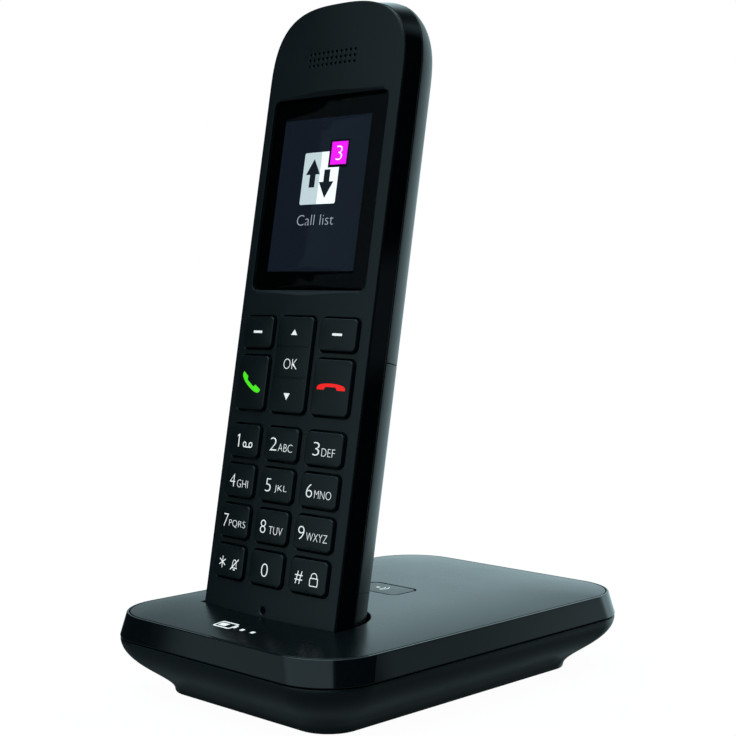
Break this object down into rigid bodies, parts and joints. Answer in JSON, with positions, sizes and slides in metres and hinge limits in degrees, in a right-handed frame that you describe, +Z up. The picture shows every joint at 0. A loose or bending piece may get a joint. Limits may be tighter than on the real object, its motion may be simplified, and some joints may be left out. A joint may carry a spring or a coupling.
{
  "type": "cordless phone with base",
  "caption": "Slim upright cordless handset leaning back in the cradle of a low rounded charging base, with a colour display, a dialling keypad, a battery cover and a paging button.",
  "frame": {"origin": "centre of the base footprint, on the surface the base stands on", "axes": "+Z up, -Y towards the user who faces the keypad, +X to that user's right"},
  "size_m": [0.0858, 0.1196, 0.1775],
  "materials": {
    "satin_black": "fine satin texture",
    "gloss_black": "polished",
    "key_black": "satin, legends printed in white",
    "display_glass": "polished, black printed border",
    "lcd": "lit colour display",
    "rubber_black": "matt",
    "circuit_board": "solder mask",
    "steel": "bright",
    "contact_gold": "gold plated",
    "battery_jacket": "printed sleeve",
    "dark_plastic": "moulded"
  },
  "bodies": {
    "base": {"base_lower_shell": "satin_black", "base_trim_band": "gloss_black", "base_top_shell": "satin_black", "base_circuit_board": "circuit_board", "radio_shield": "steel", "base_antenna": "steel", "page_switch": "dark_plastic", "line_socket": "dark_plastic", "dc_inlet": "dark_plastic", "foot_pad_front_left": "rubber_black", "foot_pad_front_right": "rubber_black", "foot_pad_rear_left": "rubber_black", "foot_pad_rear_right": "rubber_black", "base_screw_1": "steel", "base_screw_2": "steel", "base_screw_3": "steel", "base_screw_4": "steel"},
    "page_button": {"page_button": "satin_black"},
    "cradle_contact_left": {"cradle_contact_left": "contact_gold"},
    "cradle_contact_right": {"cradle_contact_right": "contact_gold"},
    "handset": {"handset_front_shell": "satin_black", "handset_trim_band": "gloss_black", "handset_rear_shell": "satin_black", "display_window": "display_glass", "lcd_panel": "lcd", "handset_circuit_board": "circuit_board", "keypad_mat": "rubber_black", "earpiece_speaker": "dark_plastic", "loudspeaker": "dark_plastic", "microphone": "dark_plastic", "handset_antenna": "steel", "battery_cell_left": "battery_jacket", "battery_cell_right": "battery_jacket", "battery_spring_left": "steel", "battery_spring_right": "steel", "handset_screw_left": "steel", "handset_screw_right": "steel", "charging_pad_left": "contact_gold", "charging_pad_right": "contact_gold"},
    "battery_cover": {"battery_cover": "satin_black"},
    "nav_plunger": {"nav_plunger": "rubber_black"},
    "nav_rocker": {"nav_rocker": "key_black"},
    "key_1": {"key_1": "key_black"},
    "key_2": {"key_2": "key_black"},
    "key_3": {"key_3": "key_black"},
    "key_4": {"key_4": "key_black"},
    "key_5": {"key_5": "key_black"},
    "key_6": {"key_6": "key_black"},
    "key_7": {"key_7": "key_black"},
    "key_8": {"key_8": "key_black"},
    "key_9": {"key_9": "key_black"},
    "key_star": {"key_star": "key_black"},
    "key_0": {"key_0": "key_black"},
    "key_hash": {"key_hash": "key_black"},
    "soft_key_left": {"soft_key_left": "key_black"},
    "soft_key_right": {"soft_key_right": "key_black"},
    "talk_key": {"talk_key": "key_black"},
    "end_key": {"end_key": "key_black"}
  },
  "joints": [
    {"name": "handset_lift", "type": "slide", "parent": "base", "child": "handset", "axis": [0, 0.1736, 0.9848], "range_m": [0, 0.08]},
    {"name": "page_press", "type": "slide", "parent": "base", "child": "page_button", "axis": [0, 0, -1], "range_m": [0, 0.0005], "stiffness_N_per_m": 500},
    {"name": "cradle_contact_left_spring", "type": "slide", "parent": "base", "child": "cradle_contact_left", "axis": [0, 0.1736, 0.9848], "range_m": [-0.0008, 0], "stiffness_N_per_m": 300},
    {"name": "cradle_contact_right_spring", "type": "slide", "parent": "base", "child": "cradle_contact_right", "axis": [0, 0.1736, 0.9848], "range_m": [-0.0008, 0], "stiffness_N_per_m": 300},
    {"name": "battery_cover_slide", "type": "slide", "parent": "handset", "child": "battery_cover", "axis": [0, 0.9848, -0.1736], "range_m": [0, 0.012]},
    {"name": "key_1_press", "type": "slide", "parent": "handset", "child": "key_1", "axis": [0, 0.9848, -0.1736], "range_m": [0, 0.0004], "stiffness_N_per_m": 600},
    {"name": "key_2_press", "type": "slide", "parent": "handset", "child": "key_2", "axis": [0, 0.9848, -0.1736], "range_m": [0, 0.0004], "stiffness_N_per_m": 600},
    {"name": "key_3_press", "type": "slide", "parent": "handset", "child": "key_3", "axis": [0, 0.9848, -0.1736], "range_m": [0, 0.0004], "stiffness_N_per_m": 600},
    {"name": "key_4_press", "type": "slide", "parent": "handset", "child": "key_4", "axis": [0, 0.9848, -0.1736], "range_m": [0, 0.0004], "stiffness_N_per_m": 600},
    {"name": "key_5_press", "type": "slide", "parent": "handset", "child": "key_5", "axis": [0, 0.9848, -0.1736], "range_m": [0, 0.0004], "stiffness_N_per_m": 600},
    {"name": "key_6_press", "type": "slide", "parent": "handset", "child": "key_6", "axis": [0, 0.9848, -0.1736], "range_m": [0, 0.0004], "stiffness_N_per_m": 600},
    {"name": "key_7_press", "type": "slide", "parent": "handset", "child": "key_7", "axis": [0, 0.9848, -0.1736], "range_m": [0, 0.0004], "stiffness_N_per_m": 600},
    {"name": "key_8_press", "type": "slide", "parent": "handset", "child": "key_8", "axis": [0, 0.9848, -0.1736], "range_m": [0, 0.0004], "stiffness_N_per_m": 600},
    {"name": "key_9_press", "type": "slide", "parent": "handset", "child": "key_9", "axis": [0, 0.9848, -0.1736], "range_m": [0, 0.0004], "stiffness_N_per_m": 600},
    {"name": "key_star_press", "type": "slide", "parent": "handset", "child": "key_star", "axis": [0, 0.9848, -0.1736], "range_m": [0, 0.0004], "stiffness_N_per_m": 600},
    {"name": "key_0_press", "type": "slide", "parent": "handset", "child": "key_0", "axis": [0, 0.9848, -0.1736], "range_m": [0, 0.0004], "stiffness_N_per_m": 600},
    {"name": "key_hash_press", "type": "slide", "parent": "handset", "child": "key_hash", "axis": [0, 0.9848, -0.1736], "range_m": [0, 0.0004], "stiffness_N_per_m": 600},
    {"name": "soft_key_left_press", "type": "slide", "parent": "handset", "child": "soft_key_left", "axis": [0, 0.9848, -0.1736], "range_m": [0, 0.0004], "stiffness_N_per_m": 600},
    {"name": "soft_key_right_press", "type": "slide", "parent": "handset", "child": "soft_key_right", "axis": [0, 0.9848, -0.1736], "range_m": [0, 0.0004], "stiffness_N_per_m": 600},
    {"name": "talk_key_press", "type": "slide", "parent": "handset", "child": "talk_key", "axis": [0, 0.9848, -0.1736], "range_m": [0, 0.0004], "stiffness_N_per_m": 600},
    {"name": "end_key_press", "type": "slide", "parent": "handset", "child": "end_key", "axis": [0, 0.9848, -0.1736], "range_m": [0, 0.0004], "stiffness_N_per_m": 600},
    {"name": "nav_ok_press", "type": "slide", "parent": "handset", "child": "nav_plunger", "axis": [0, 0.9848, -0.1736], "range_m": [0, 0.0004], "stiffness_N_per_m": 700},
    {"name": "nav_tilt", "type": "hinge", "parent": "nav_plunger", "child": "nav_rocker", "pos_m": [0, -0.02607, 0.08442], "axis": [1, 0, 0], "range_deg": [-1.2, 1.2], "stiffness_Nm_per_rad": 0.4}
  ]
}
